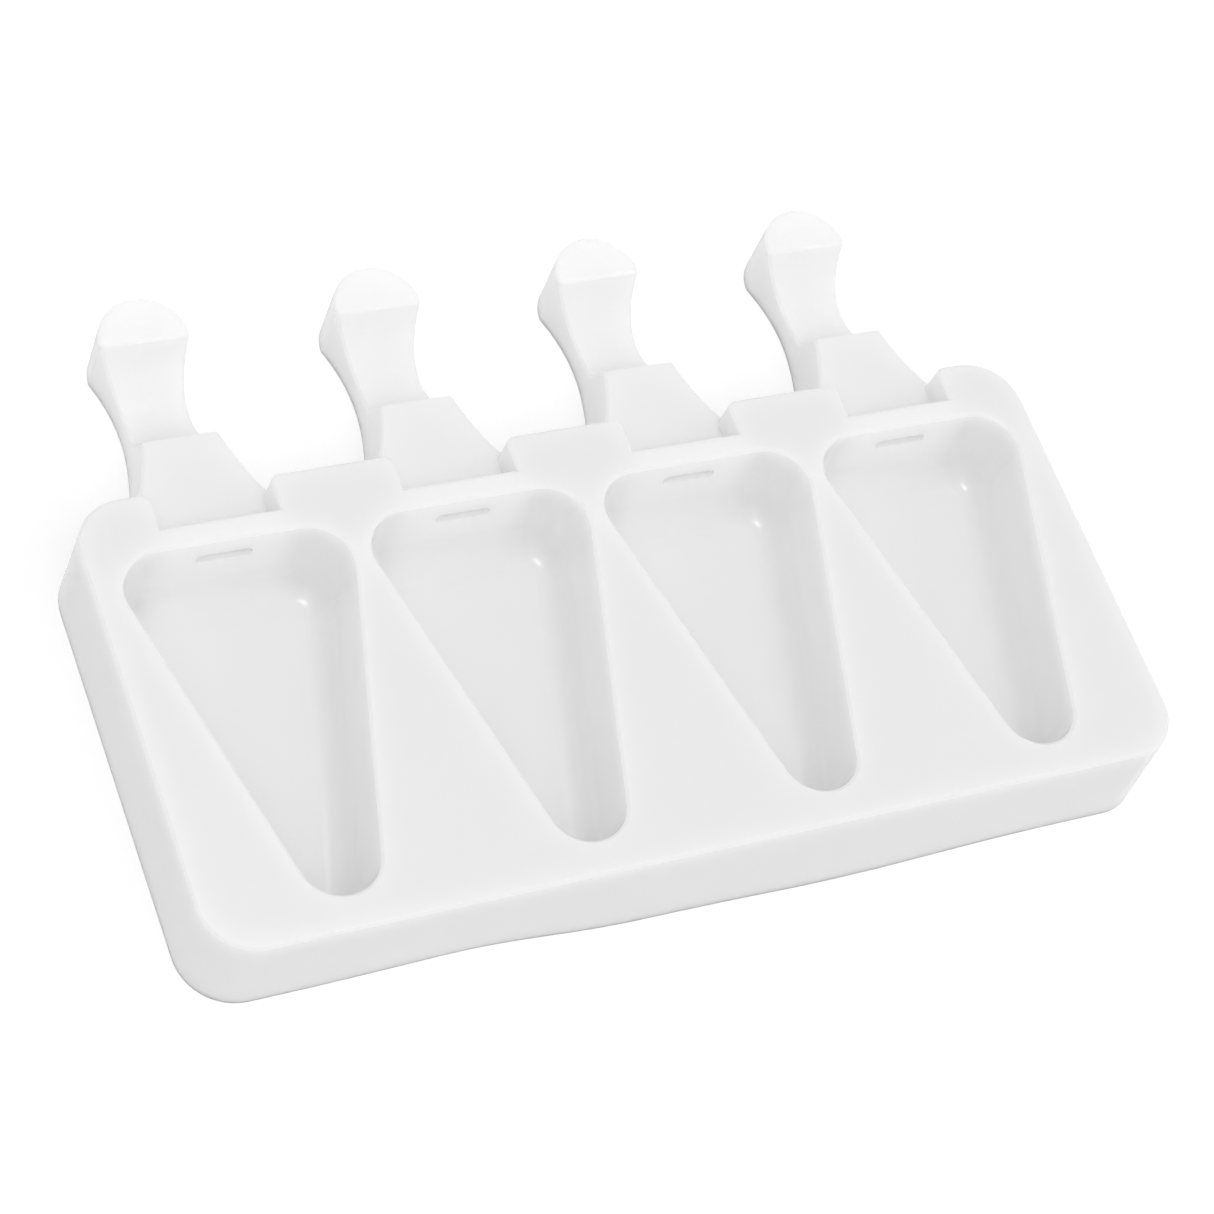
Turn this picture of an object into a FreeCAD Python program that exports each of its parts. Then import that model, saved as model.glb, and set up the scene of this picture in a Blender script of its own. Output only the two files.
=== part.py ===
import os
import math
import FreeCAD, Part

# A four-cavity ice pop mould, moulded in one piece from soft white silicone.
# Millimetres. +X runs along the long side, +Y towards the stick rests, +Z up.
# A drop is measured down from the top plate, and a place along Y from the plate's front edge.

# Tray: a flat top plate with a thin skirt that leans out on its way down
plate_length = 190.0
plate_width = 87.6
tray_height = 20.0
plate_thickness = 2.8
plate_corner_radius = 9.8
skirt_thickness = 2.2
skirt_lean = 1.8
rim_bevel = 0.5

# The soft front skirt splays out towards its right end, and its hem sways in and out
hem_splay = 1.3
hem_sway = (-1.4, 1.1, 0.7, 1.4, 1.0)

# Cups
cup_count = 4
cup_pitch = 45.8
cup_tip = 6.4
cup_mouth_width = 42.1
cup_tip_radius = 7.4
cup_corner_radius = 7.6
cup_depth = 17.2
cup_lean = 4.0
cup_floor_rounding = 5.0
cup_wall = 2.2
cup_base_bevel = 4.8

# Notches in the plate's back edge, one behind each cup
notch_width = 22.4
notch_depth = 7.2
notch_mouth_radius = 1.8

# Stick slots, just above the root blocks, through the wall between cup and notch
slot_width = 10.5
slot_height = 2.2
slot_wall = 4.4

# Stick rests: a root block in the notch, a step, a neck scooped for the fingers and a bulb
root_drop = 6.2
root_width = 25.2
root_reach = 14.0
root_middle_width = 18.7
step_length = 3.9
foot_drop = 13.4
foot_width = 13.2
neck_length = 17.4
neck_drop = 14.6
neck_low_share = 0.45       # where along the neck its lowest point lies
ridge_drop = 6.7
ridge_width = 17.2
bulb_length = 9.2
bulb_end_drop = 6.0
foot_rounding = 1.5
ridge_rounding = 1.0
rest_side_rounding = 2.0
rest_bevel = 0.5

# Where things lie along Y, and how far the walls lean
notch_wall_y = plate_width - notch_depth
cup_back = notch_wall_y - slot_wall
step_y = plate_width + root_reach
foot_y = step_y + step_length
ridge_y = foot_y + neck_length
rest_end_y = ridge_y + bulb_length
skirt_slope = math.tan(math.radians(skirt_lean))
cup_slope = math.tan(math.radians(cup_lean))
middle_cup = (cup_count - 1) / 2
cup_centres = [(i - middle_cup) * cup_pitch for i in range(cup_count)]

# How nearly an edge has to lie where it is looked for
tolerance = 0.01

sideways = FreeCAD.Vector(1, 0, 0)
upwards = FreeCAD.Vector(0, 0, 1)


def point(x, y, z=0.0):
    return FreeCAD.Vector(x, y, z)


def line(start, end):
    return Part.LineSegment(start, end).toShape()


def mirrored(p):
    return point(-p.x, p.y, p.z)


def on_circle(centre, radius, angle):
    return centre + point(math.cos(angle), math.sin(angle)) * radius


def tangent_arc(before, end):
    """An arc that carries on smoothly from the end of the arc before, to a given end."""
    start = before.lastVertex().Point
    centre_before = before.Curve.Center
    inwards = (centre_before - start).normalize()
    chord = end - start
    radius = chord.dot(chord) / (2 * chord.dot(inwards))
    centre = start + inwards * radius
    middle = centre + ((start + end) * 0.5 - centre).normalize() * abs(radius)
    return Part.Arc(start, middle, end).toShape()


def swaying_side(start, end, sway):
    """A side from start to end that leaves its straight line by the given amounts, to the right."""
    # Two poles on the line at each end keep the side in line with its corners
    offsets = [0.0, 0.0] + sway + [0.0, 0.0]
    along = end - start
    outwards = point(along.y, -along.x).normalize()
    share = 1 / (len(offsets) - 1)
    poles = [start + along * (i * share) + outwards * offset for i, offset in enumerate(offsets)]
    knots = len(poles) - 2
    curve = Part.BSplineCurve()
    curve.buildFromPolesMultsKnots(poles, [4] + [1] * (knots - 2) + [4], list(range(knots)), False, 3)
    return curve.toShape()


def rounded_outline(corners, radius, first_sway):
    """The edges of an outline with rounded right-angled corners and a first side that sways."""
    rounds = []
    for i, corner in enumerate(corners):
        back = (corners[i - 1] - corner).normalize() * radius
        ahead = (corners[(i + 1) % len(corners)] - corner).normalize() * radius
        middle = corner + (back + ahead) * (1 - math.sqrt(0.5))
        rounds.append((corner + back, middle, corner + ahead))
    edges = []
    for i, (start, middle, end) in enumerate(rounds):
        following = rounds[(i + 1) % len(rounds)][0]
        edges.append(Part.Arc(start, middle, end).toShape())
        edges.append(line(end, following) if i else swaying_side(end, following, first_sway))
    return edges


def are_coaxial(low, high):
    """Whether two flat circles have their centres on one upright axis."""
    between = high.Center - low.Center
    return math.hypot(between.x, between.y) < tolerance


def leaning_face(low, high):
    """The face between a low edge and the like edge above it: flat, conical or ruled."""
    low_start, low_end = low.firstVertex().Point, low.lastVertex().Point
    high_start, high_end = high.firstVertex().Point, high.lastVertex().Point
    if isinstance(low.Curve, Part.Line):
        return Part.Face(Part.makePolygon([low_start, low_end, high_end, high_start, low_start]))
    if isinstance(low.Curve, Part.Circle) and are_coaxial(low.Curve, high.Curve):
        centre = low.Curve.Center
        from_centre, to_end = low_start - centre, low_end - centre
        turn = math.degrees(math.atan2(from_centre.cross(to_end).z, from_centre.dot(to_end)))
        full_turn = 360.0
        if abs(low.LastParameter - low.FirstParameter) > math.pi:
            turn -= math.copysign(full_turn, turn)
        return line(low_start, high_start).revolve(centre, upwards, turn)
    return Part.makeRuledSurface(low, high)


def leaning_body(low_edges, high_edges):
    """The solid between an outline and the like outline above it."""
    faces = [leaning_face(low, high) for low, high in zip(low_edges, high_edges)]
    faces += [Part.Face(Part.Wire(edges)) for edges in (low_edges, high_edges)]
    shell = Part.makeShell(faces)
    shell.sewShape()
    body = Part.makeSolid(shell)
    if body.Volume < 0:
        body.reverse()
    return body


def tray_outline(drop, inset):
    """The tray's outline without its notches, set in from its outer face."""
    lean = skirt_slope * drop
    grow = lean - inset
    radius = plate_corner_radius + grow
    end, front, back = plate_length / 2 + grow, -grow, plate_width + grow
    level = tray_height - drop
    share = drop / tray_height
    front_sway = [amount * share for amount in hem_sway]
    places = [(-end, front), (end, front - hem_splay * share), (end, back), (-end, back)]
    corners = [point(x, y, level) for x, y in places]
    return rounded_outline(corners, radius, front_sway)


def notch_outline(drop, inset):
    """A notch's outline, open past the tray's back face and set out from the notch's own walls."""
    grow = inset - skirt_slope * drop
    half, wall, level = notch_width / 2 + grow, notch_wall_y - grow, tray_height - drop
    beyond = plate_width + notch_depth
    places = [(-half, wall), (half, wall), (half, beyond), (-half, beyond)]
    corners = [point(x, y, level) for x, y in places]
    return [line(corners[i - 1], corner) for i, corner in enumerate(corners)]


def tray_body(top_drop, base_drop, inset):
    """The tray between two drops as a solid, with its notches, set in from its outer face."""
    body = leaning_body(tray_outline(base_drop, inset), tray_outline(top_drop, inset))
    notch = leaning_body(notch_outline(base_drop, inset), notch_outline(top_drop, inset))
    return body.cut(spread(notch))


def cup_outline(drop, outset):
    """A cup's outline: three circles with a band round them, narrow at the front."""
    inset = cup_slope * drop - outset
    tip_radius = cup_tip_radius - inset
    corner_radius = cup_corner_radius - inset
    level = tray_height - drop
    tip = point(0, cup_tip + cup_tip_radius, level)
    corner = point(cup_mouth_width / 2 - cup_corner_radius, cup_back - cup_corner_radius, level)
    away = corner - tip
    # The side touches both circles, so its normal is fixed by their distance and radii
    turn = math.acos((tip_radius - corner_radius) / away.Length)
    normal_angle = math.atan2(away.y, away.x) - turn
    right_angle = math.pi / 2
    middle_angle = (normal_angle + right_angle) / 2
    tip_end = on_circle(tip, tip_radius, normal_angle)
    tip_middle = on_circle(tip, tip_radius, -right_angle)
    corner_start = on_circle(corner, corner_radius, normal_angle)
    corner_middle = on_circle(corner, corner_radius, middle_angle)
    corner_end = on_circle(corner, corner_radius, right_angle)
    return [
        Part.Arc(mirrored(tip_end), tip_middle, tip_end).toShape(),
        line(tip_end, corner_start),
        Part.Arc(corner_start, corner_middle, corner_end).toShape(),
        line(corner_end, mirrored(corner_end)),
        Part.Arc(mirrored(corner_end), mirrored(corner_middle), mirrored(corner_start)).toShape(),
        line(mirrored(corner_start), mirrored(tip_end)),
    ]


def cavity_body():
    """The space in a cup, from just above the plate down to its rounded floor."""
    body = leaning_body(cup_outline(cup_depth, 0), cup_outline(-rim_bevel, 0))
    return body.makeFillet(cup_floor_rounding, edges_at_level(body, tray_height - cup_depth))


def cup_body():
    """A cup's outer shape, from inside the plate down to its bevelled base."""
    body = leaning_body(cup_outline(tray_height, cup_wall), cup_outline(plate_thickness / 2, cup_wall))
    return body.makeChamfer(cup_base_bevel, edges_at_level(body, 0))


def edges_from(body, corner, axis):
    """The edges of a body that start at a corner and go some way along an axis."""
    chosen = []
    for edge in body.Edges:
        ends = [vertex.Point for vertex in edge.Vertexes]
        at_corner = any(end.distanceToPoint(corner) < tolerance for end in ends)
        if at_corner and abs((ends[-1] - ends[0]).dot(axis)) > tolerance:
            chosen.append(edge)
    return chosen


def edges_at_level(shape, level):
    """The edges of a shape that lie wholly at one height."""
    def flat(edge):
        box = edge.BoundBox
        return abs(box.ZMin - level) < tolerance and abs(box.ZMax - level) < tolerance
    return [edge for edge in shape.Edges if flat(edge)]


def slot_body():
    """A stick slot: a round-ended flat bar that reaches from the cup into the notch."""
    end_radius = slot_height / 2
    half_flat = slot_width / 2 - end_radius
    low = tray_height - root_drop
    high = low + slot_height
    middle = low + end_radius
    start_y = cup_back - cup_corner_radius
    profile = Part.Wire([
        line(point(-half_flat, start_y, low), point(half_flat, start_y, low)),
        Part.Arc(
            point(half_flat, start_y, low),
            point(half_flat + end_radius, start_y, middle),
            point(half_flat, start_y, high),
        ).toShape(),
        line(point(half_flat, start_y, high), point(-half_flat, start_y, high)),
        Part.Arc(
            point(-half_flat, start_y, high),
            point(-half_flat - end_radius, start_y, middle),
            point(-half_flat, start_y, low),
        ).toShape(),
    ])
    return Part.Face(profile).extrude(point(0, plate_width - start_y, 0))


def wall_block():
    """The solid wall between a cup and its notch, which the slot goes through."""
    half = notch_width / 2 + skirt_thickness / 2
    start_y = cup_back - cup_corner_radius
    length = notch_wall_y - skirt_thickness / 2 - start_y
    return Part.makeBox(2 * half, length, tray_height - plate_thickness / 2, point(-half, start_y, 0))


def rest_plan():
    """A stick rest seen from above, extruded to the full height of the tray."""
    root_start = point(root_width / 2, notch_wall_y - skirt_thickness / 2)
    flare = point(root_width / 2, plate_width)
    root_middle = point(root_middle_width / 2, plate_width + root_reach / 2)
    waist = point(foot_width / 2, foot_y)
    end = point(0, rest_end_y)
    side = end + point(ridge_width / 2, -ridge_width / 2)
    root_flank = Part.Arc(flare, root_middle, waist).toShape()
    flank = [line(root_start, flare), root_flank, tangent_arc(root_flank, side)]
    other_flank = [edge.mirror(point(0, 0), sideways) for edge in reversed(flank)]
    bulb = Part.Arc(side, end, mirrored(side)).toShape()
    back = line(mirrored(root_start), root_start)
    body = Part.Face(Part.Wire(flank + [bulb] + other_flank + [back])).extrude(point(0, 0, tray_height))
    corners = edges_from(body, side, upwards) + edges_from(body, mirrored(side), upwards)
    return body.makeFillet(rest_side_rounding, corners)


def rest_profile():
    """A stick rest seen from the side, extruded across it, with a soft ridge."""
    half = root_width
    start_y = notch_wall_y - skirt_thickness
    end_y = rest_end_y + skirt_thickness

    def place(y, drop):
        return point(-half, y, tray_height - drop)

    step = place(step_y, root_drop)
    foot = place(foot_y, foot_drop)
    neck = place(foot_y + neck_length * neck_low_share, neck_drop)
    ridge = place(ridge_y, ridge_drop)
    bulb_end = place(end_y, bulb_end_drop)
    base_end = place(end_y, tray_height)
    base_start = place(start_y, tray_height)
    start = place(start_y, root_drop)
    outline = Part.Wire([
        line(start, step),
        line(step, foot),
        Part.Arc(foot, neck, ridge).toShape(),
        line(ridge, bulb_end),
        line(bulb_end, base_end),
        line(base_end, base_start),
        line(base_start, start),
    ])
    body = Part.Face(outline).extrude(point(2 * half, 0, 0))
    body = body.makeFillet(foot_rounding, edges_from(body, foot, sideways))
    return body.makeFillet(ridge_rounding, edges_from(body, ridge, sideways))


def rest_body():
    """A stick rest: its plan where it meets its profile, with a small bevel round its top."""
    body = rest_plan().common(rest_profile()).Solids[0]

    def runs_round(edge):
        box = edge.BoundBox
        return box.ZMin > tolerance and box.YMin > plate_width - tolerance and box.YLength > tolerance
    return body.makeChamfer(rest_bevel, [edge for edge in body.Edges if runs_round(edge)])


def spread(body):
    """A body repeated behind, in or under each cup."""
    return [body.translated(point(x, 0, 0)) for x in cup_centres]


def mouth_edges(shell):
    """The edges round the cups' mouths, on the plate."""
    def inside(edge):
        box = edge.BoundBox
        across = any(abs(box.Center.x - x) < cup_mouth_width / 2 for x in cup_centres)
        return across and box.YMin > cup_tip - tolerance and box.YMax < cup_back + tolerance
    return [edge for edge in edges_at_level(shell, tray_height) if inside(edge)]


def make_tray():
    """The plate and its skirt, open underneath, with a small bevel round the top."""
    tray = tray_body(0, tray_height, 0)
    mouths = []
    for x in cup_centres:
        for half in (-notch_width / 2, notch_width / 2):
            mouths += edges_from(tray, point(x + half, plate_width, tray_height), upwards)
    tray = tray.makeFillet(notch_mouth_radius, mouths)
    tray = tray.makeChamfer(rim_bevel, edges_at_level(tray, tray_height))
    return tray.cut(tray_body(plate_thickness, tray_height, skirt_thickness))


def make_mould():
    mould = make_tray().fuse(spread(cup_body()) + spread(wall_block())).cut(spread(cavity_body()))
    mould = mould.makeChamfer(rim_bevel, mouth_edges(mould))
    mould = mould.fuse(spread(rest_body())).cut(spread(slot_body()))
    return mould.removeSplitter().Solids[0]


def main():
    os.makedirs("parts", exist_ok=True)
    mould = make_mould()
    # The origin is at the middle of the box round the mould, on the base
    box = mould.optimalBoundingBox(False)
    mould.translate(point(-box.Center.x, -box.Center.y, -box.ZMin))
    print("mould", mould.isValid(), "volume", round(mould.Volume))
    print("size", box.XLength, box.YLength, box.ZLength)
    print("the plate's front edge is at y", -box.Center.y)
    mould.exportStep("parts/mould.step")


main()
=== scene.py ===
# %% [markdown]
# # An ice pop mould in white silicone
#
# The object is one soft moulding: a tray with four tapered cups, a thin skirt, and a
# scooped stick rest behind each cup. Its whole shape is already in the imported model, so
# this lesson is about what makes plain white silicone look like itself: a slightly
# cloudy body that light sinks into, a satin skin, and soft light that shows its form.
# Lengths are in metres, angles in degrees and lamps in watts.

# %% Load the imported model
import math

import bpy
from mathutils import Euler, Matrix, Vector

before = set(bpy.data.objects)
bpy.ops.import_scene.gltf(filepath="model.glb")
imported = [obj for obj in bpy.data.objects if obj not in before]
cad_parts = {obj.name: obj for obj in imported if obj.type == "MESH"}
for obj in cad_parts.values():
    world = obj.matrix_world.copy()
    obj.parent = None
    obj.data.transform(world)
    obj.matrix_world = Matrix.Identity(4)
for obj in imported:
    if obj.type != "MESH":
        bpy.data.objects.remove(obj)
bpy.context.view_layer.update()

# %% [markdown]
# ## The camera
#
# The mould was photographed from above its left front corner with a long lens. The
# camera's place, its turn and its field of view were worked out together from the
# mould's straight edges and round corners, so they can simply be written down here.

# %% Place the camera
camera_place = (-0.2439, -0.24977, 0.4975)
camera_turn_degrees = (31.155, -15.898, -20.552)
camera_sensor_width = 36.0
camera_lens = 96.89
camera_shift = (0.0218, 0.0104)


def make_camera():
    """A long lens that looks down on the mould at the photograph's angle."""
    data = bpy.data.cameras.new("camera")
    data.sensor_fit = "HORIZONTAL"
    data.sensor_width = camera_sensor_width
    data.lens = camera_lens
    data.shift_x, data.shift_y = camera_shift
    camera = bpy.data.objects.new("camera", data)
    camera.location = camera_place
    camera.rotation_euler = Euler([math.radians(turn) for turn in camera_turn_degrees])
    bpy.context.scene.collection.objects.link(camera)
    bpy.context.scene.camera = camera
    return camera


camera = make_camera()
print("camera at", camera_place, "with a lens of", camera_lens, "mm")

# %% [markdown]
# ## A small helper for materials
#
# Every material here is a tree of nodes. The helper adds a node, sets its values by
# name and joins its inputs in one call, so that a material reads from top to bottom.

# %% A helper that adds a node
def add_node(tree, kind, settings=None, **inputs):
    """Adds a node. An input is a number, a colour, or an output of an earlier node."""
    node = tree.nodes.new(kind)
    for name, value in (settings or {}).items():
        setattr(node, name, value)
    for name, value in inputs.items():
        socket = node.inputs[name.replace("_", " ")]
        if isinstance(value, bpy.types.NodeSocket):
            tree.links.new(value, socket)
        else:
            socket.default_value = value
    return node


def new_material(name):
    """An empty material, and the node that its surface goes into."""
    material = bpy.data.materials.new(name)
    material.use_nodes = True
    material.node_tree.nodes.clear()
    return material, add_node(material.node_tree, "ShaderNodeOutputMaterial")


# %% [markdown]
# ## Silicone
#
# White silicone isn't a painted surface. Light goes a few millimetres into it, spreads
# and comes back out, which softens every edge and lifts the thin parts. Subsurface
# scattering does that, and its scale is how far the light gets: the same for red, green
# and blue, because the photograph is a plain grey. The skin is satin: the tool that the
# mould was cast in had a finely blasted finish, so a very small bump breaks up its
# reflections.

# %% Make the silicone
silicone_white = (0.98, 0.98, 0.98, 1.0)
silicone_roughness = 0.25
silicone_ior = 1.41
cloudiness = 0.9
light_depth = 0.0033
depth_by_colour = (1.0, 1.0, 1.0)
grain_scale = 2600.0
grain_detail = 2.0
grain_height = 0.0002
grain_strength = 0.05


def make_silicone():
    """A cloudy white body with a satin skin, grained in the object's own coordinates."""
    material, output = new_material("white_silicone")
    tree = material.node_tree
    place = add_node(tree, "ShaderNodeTexCoord").outputs["Object"]
    grain = add_node(
        tree, "ShaderNodeTexNoise",
        Vector=place, Scale=grain_scale, Detail=grain_detail,
    )
    skin = add_node(
        tree, "ShaderNodeBump",
        Height=grain.outputs["Fac"], Strength=grain_strength, Distance=grain_height,
    )
    body = add_node(
        tree, "ShaderNodeBsdfPrincipled",
        Base_Color=silicone_white,
        Roughness=silicone_roughness,
        IOR=silicone_ior,
        Normal=skin.outputs["Normal"],
        Subsurface_Weight=cloudiness,
        Subsurface_Radius=depth_by_colour,
        Subsurface_Scale=light_depth,
    )
    tree.links.new(body.outputs["BSDF"], output.inputs["Surface"])
    return material


silicone = make_silicone()
print("made", silicone.name, "which light enters for about", light_depth, "m")

# %% Dress the mould in it
for name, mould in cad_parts.items():
    mould.data.materials.clear()
    mould.data.materials.append(silicone)
    print(name, "has", len(mould.data.polygons), "faces")

# %% [markdown]
# ## Rays that only look
#
# Paper and walls are never quite as bright as full white, yet the photograph's ground
# is. So the ground gets a little extra brightness that only looking rays can meet: rays
# from the camera, from a reflection, or through a clear piece. It lights nothing, and
# where the mould's shadow falls the ground still gets darker.

# %% A helper that finds looking rays
def add_looking_rays(tree):
    """1 for rays from the camera, a reflection or a clear piece, and 0 for light."""
    rays = add_node(tree, "ShaderNodeLightPath").outputs
    looking = rays["Is Camera Ray"]
    for kind in ("Is Glossy Ray", "Is Transmission Ray"):
        either = add_node(tree, "ShaderNodeMath", {"operation": "MAXIMUM"})
        tree.links.new(looking, either.inputs[0])
        tree.links.new(rays[kind], either.inputs[1])
        looking = either.outputs[0]
    return looking


# %% [markdown]
# ## The floor
#
# The mould stands on a large sheet of plain white paper: one square in matt white, with
# the small glow for looking rays added to it.

# %% Lay the floor
floor_half = 4.0
paper_white = (0.8, 0.8, 0.8, 1.0)
paper_glow = 0.3


def make_paper():
    """Matt white paper that looks fully white where no shadow falls."""
    material, output = new_material("white_paper")
    tree = material.node_tree
    glow_strength = add_node(tree, "ShaderNodeMath", {"operation": "MULTIPLY"})
    tree.links.new(add_looking_rays(tree), glow_strength.inputs[0])
    glow_strength.inputs[1].default_value = paper_glow
    matt = add_node(tree, "ShaderNodeBsdfDiffuse", Color=paper_white)
    glow = add_node(tree, "ShaderNodeEmission", Strength=glow_strength.outputs[0])
    both = add_node(tree, "ShaderNodeAddShader")
    tree.links.new(matt.outputs[0], both.inputs[0])
    tree.links.new(glow.outputs[0], both.inputs[1])
    tree.links.new(both.outputs[0], output.inputs["Surface"])
    return material


def make_floor():
    """A large plain square under the mould."""
    corners = [(-floor_half, -floor_half, 0), (floor_half, -floor_half, 0),
               (floor_half, floor_half, 0), (-floor_half, floor_half, 0)]
    mesh = bpy.data.meshes.new("floor")
    mesh.from_pydata(corners, [], [(0, 1, 2, 3)])
    mesh.materials.append(make_paper())
    floor = bpy.data.objects.new("floor", mesh)
    bpy.context.scene.collection.objects.link(floor)
    return floor


floor = make_floor()
print("the floor is", 2 * floor_half, "m wide")

# %% [markdown]
# ## The room
#
# The world stands for the studio's white walls and ceiling: dim as a light, so that the
# lamps can shape the mould, and full white to looking rays.

# %% Light the room
room_colour = (1.0, 1.0, 1.0, 1.0)
room_strength = 0.73
room_white = 1.0


def make_room():
    """An even white surround, dim as a light and full white where it is seen."""
    world = bpy.data.worlds.new("room")
    world.use_nodes = True
    tree = world.node_tree
    tree.nodes.clear()
    output = add_node(tree, "ShaderNodeOutputWorld")
    light = add_node(tree, "ShaderNodeBackground", Strength=room_strength)
    seen = add_node(tree, "ShaderNodeBackground", Strength=room_white)
    for background in (light, seen):
        background.inputs["Color"].default_value = room_colour
    mix = add_node(tree, "ShaderNodeMixShader")
    tree.links.new(add_looking_rays(tree), mix.inputs[0])
    tree.links.new(light.outputs[0], mix.inputs[1])
    tree.links.new(seen.outputs[0], mix.inputs[2])
    tree.links.new(mix.outputs[0], output.inputs["Surface"])
    bpy.context.scene.world = world


make_room()
print("the room lights the mould at", room_strength)

# %% [markdown]
# ## The lamps
#
# Soft square lamps stand round the mould, all at one distance and facing it. Their
# strengths come from the photograph. The mould was rendered under one lamp at a time,
# the mix of those pictures that came nearest gave each lamp its share, and the shares
# were then trimmed a little against the photograph's greys.

# %% A helper that hangs a lamp
full_spread = 180


def add_lamp(name, place, aim, size, power, spread=full_spread):
    """A soft rectangular lamp at a place, turned towards another."""
    data = bpy.data.lights.new(name, "AREA")
    data.shape = "RECTANGLE"
    data.size, data.size_y = size
    data.energy = power
    data.spread = math.radians(spread)
    lamp = bpy.data.objects.new(name, data)
    lamp.location = place
    sight = Vector(aim) - Vector(place)
    lamp.rotation_euler = sight.to_track_quat("-Z", "Y").to_euler()
    bpy.context.scene.collection.objects.link(lamp)
    print(name, "lamp:", power, "W")
    return lamp


# %% Hang the soft lamps
mould_place = (0, 0, 0)
lamp_distance = 1.6
lamp_size = (0.9, 0.9)

# each lamp's azimuth, elevation and power
soft_lamps = {
    "left_front": (225, 60, 3.2),
    "right": (106, 30, 2.2),
    "front": (180, 60, 1.7),
}


def around(azimuth, elevation):
    """A place round the mould. Azimuth 0 is behind it and 90 is at its right end."""
    turn, rise = math.radians(azimuth), math.radians(elevation)
    reach = math.cos(rise)
    away = Vector((math.sin(turn) * reach, math.cos(turn) * reach, math.sin(rise)))
    return lamp_distance * away


for name, (azimuth, elevation, power) in soft_lamps.items():
    add_lamp(name, around(azimuth, elevation), mould_place, lamp_size, power)

# %% [markdown]
# ## A beam on the stick rests
#
# In the photograph the rests are the brightest part, and their ends are almost white. A
# thin lamp high above them, with a narrow spread, does that: its beam is a strip behind
# the tray that fades out before it reaches the cups.

# %% Hang the beam
beam_place = (0.01, 0.2, 0.9)
beam_aim = (0.01, 0.115, 0.0)
beam_size = (0.26, 0.02)
beam_power = 0.0215
beam_spread = 10
add_lamp("rests", beam_place, beam_aim, beam_size, beam_power, beam_spread)

# %% [markdown]
# ## A lamp for the gloss
#
# Each cup's back corner shows a small bright dot, the reflection of a lamp almost
# overhead. Silicone reflects only a few hundredths of what falls on it, so a lamp that
# makes such a dot would drown the soft shading. This one is met by reflections alone,
# and hangs a little to the left, where the scooped rests don't catch it.

# %% Hang the lamp for the gloss
gloss_place = (-0.06, 0.16, 0.88)
gloss_size = (0.22, 0.22)
gloss_power = 2.6
gloss = add_lamp("gloss", gloss_place, mould_place, gloss_size, gloss_power)
gloss.visible_diffuse = False

# %% Finish with the standard view transform
bpy.context.scene.view_settings.view_transform = "Standard"
